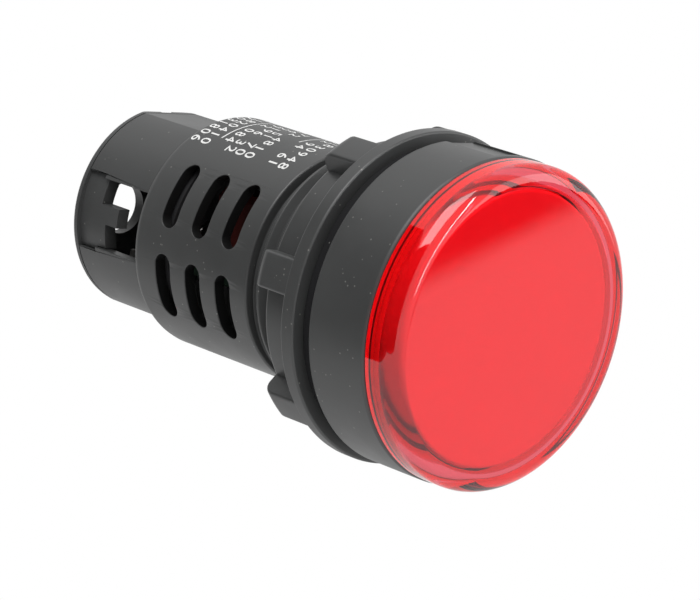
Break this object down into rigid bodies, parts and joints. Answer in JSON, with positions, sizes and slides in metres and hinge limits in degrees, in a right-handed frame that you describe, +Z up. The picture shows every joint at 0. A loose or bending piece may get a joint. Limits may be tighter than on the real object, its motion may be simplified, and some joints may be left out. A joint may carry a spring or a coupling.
{
  "type": "panel pilot light",
  "caption": "Round indicator lamp for a panel hole: red lens in a black bezel, threaded neck with gasket and lugged ring nut, vented barrel and screw terminals under a rear cover.",
  "frame": {"origin": "centre of the neck in the plane of the bezel's rear face, where the panel's front face lies", "axes": "+Y points rearwards along the neck, so the lens faces -Y; +Z is up, through the locating flat on the bezel"},
  "size_m": [0.0298, 0.0475, 0.0298],
  "materials": {
    "lens_red": "clear red moulding, polished",
    "diffuser_milk": "milky, satin",
    "housing_black": "satin black moulding",
    "nut_black": "satin black moulding",
    "cover_black": "satin black moulding",
    "block_black": "satin black moulding",
    "gasket_rubber": "matt",
    "tinned_metal": "tin plated, slightly dull",
    "contact_brass": "tinned brass",
    "board_green": "solder mask over glass laminate",
    "board_white": "white solder mask",
    "led_clear": "clear epoxy",
    "film_red": "dipped epoxy",
    "can_sleeve": "shrink sleeve",
    "resistor_tan": "lacquered ceramic",
    "chip_black": "moulded epoxy"
  },
  "bodies": {
    "housing": {"lens": "lens_red", "diffuser": "diffuser_milk", "led_board": "board_white", "leds": "led_clear", "front_body": "housing_black", "rear_housing": "housing_black", "terminal_block": "block_black", "contact_left": "contact_brass", "contact_right": "contact_brass", "driver_board": "board_green", "film_capacitor": "film_red", "smoothing_capacitor": "can_sleeve", "resistors": "resistor_tan", "rectifier": "chip_black", "link_pins": "tinned_metal"},
    "gasket": {"gasket": "gasket_rubber"},
    "nut": {"ring_nut": "nut_black"},
    "cover": {"terminal_cover": "cover_black"},
    "clamp_left": {"clamp_left": "tinned_metal"},
    "screw_left": {"screw_left": "tinned_metal"},
    "clamp_right": {"clamp_right": "tinned_metal"},
    "screw_right": {"screw_right": "tinned_metal"}
  },
  "joints": [
    {"name": "nut_turn", "type": "hinge", "parent": "housing", "child": "gasket", "pos_m": [0, 0, 0], "axis": [0, 1, 0], "range_deg": [0, 1440.5]},
    {"name": "nut_travel", "type": "slide", "parent": "gasket", "child": "nut", "axis": [0, 1, 0], "range_m": [0, 0.006]},
    {"name": "cover_pull", "type": "slide", "parent": "housing", "child": "cover", "axis": [0, 1, 0], "range_m": [0, 0.008]},
    {"name": "clamp_left_travel", "type": "slide", "parent": "housing", "child": "clamp_left", "axis": [0, 1, 0], "range_m": [0, 0.002]},
    {"name": "screw_left_turn", "type": "hinge", "parent": "clamp_left", "child": "screw_left", "pos_m": [-0.0044, 0, 0], "axis": [0, 1, 0], "range_deg": [0, 1440.5]},
    {"name": "clamp_right_travel", "type": "slide", "parent": "housing", "child": "clamp_right", "axis": [0, 1, 0], "range_m": [0, 0.002]},
    {"name": "screw_right_turn", "type": "hinge", "parent": "clamp_right", "child": "screw_right", "pos_m": [0.0044, 0, 0], "axis": [0, 1, 0], "range_deg": [0, 1440.5]}
  ],
  "couplings": [
    {"joint": "nut_turn", "follows": "nut_travel", "rad_per_m": 4188.8},
    {"joint": "screw_left_turn", "follows": "clamp_left_travel", "rad_per_m": 12566},
    {"joint": "screw_right_turn", "follows": "clamp_right_travel", "rad_per_m": 12566}
  ]
}
